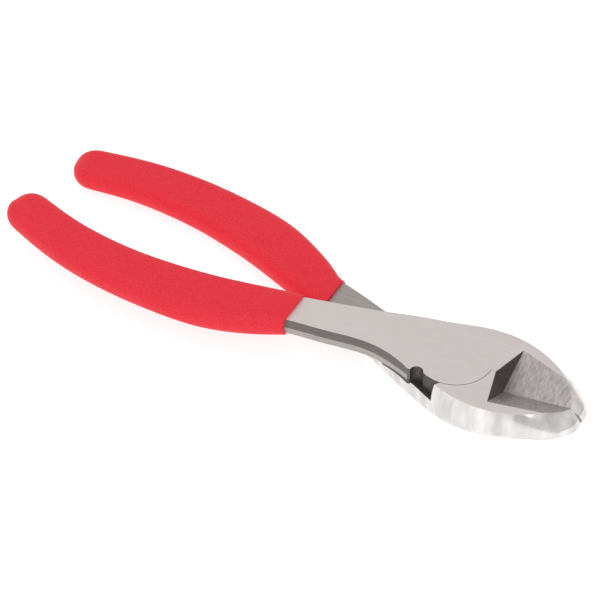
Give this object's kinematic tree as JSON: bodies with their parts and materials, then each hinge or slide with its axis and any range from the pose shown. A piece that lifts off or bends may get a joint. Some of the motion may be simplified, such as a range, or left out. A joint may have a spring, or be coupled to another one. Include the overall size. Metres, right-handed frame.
{
  "type": "diagonal cutting pliers",
  "caption": "Lap-joint diagonal cutting pliers with angled cutting edges, a flush rivet and dipped vinyl grips.",
  "frame": {"origin": "where the pivot axis meets the underside of the head", "axes": "+X along the closed cutting edges to the jaw tips, +Z along the pivot axis to the top face, +Y towards the upper half's jaw"},
  "size_m": [0.1768, 0.0541, 0.0142],
  "materials": {
    "forged_steel": "ground and polished",
    "rivet_steel": "ground flush",
    "dipped_vinyl": "satin, fine grain"
  },
  "bodies": {
    "upper": {"upper_half": "forged_steel", "pivot_rivet": "rivet_steel", "upper_grip": "dipped_vinyl"},
    "lower": {"lower_half": "forged_steel", "lower_grip": "dipped_vinyl"}
  },
  "joints": [
    {"name": "jaw_pivot", "type": "hinge", "parent": "upper", "child": "lower", "pos_m": [0, 0, 0.006], "axis": [0, 0, -1], "range_deg": [0, 36]}
  ]
}
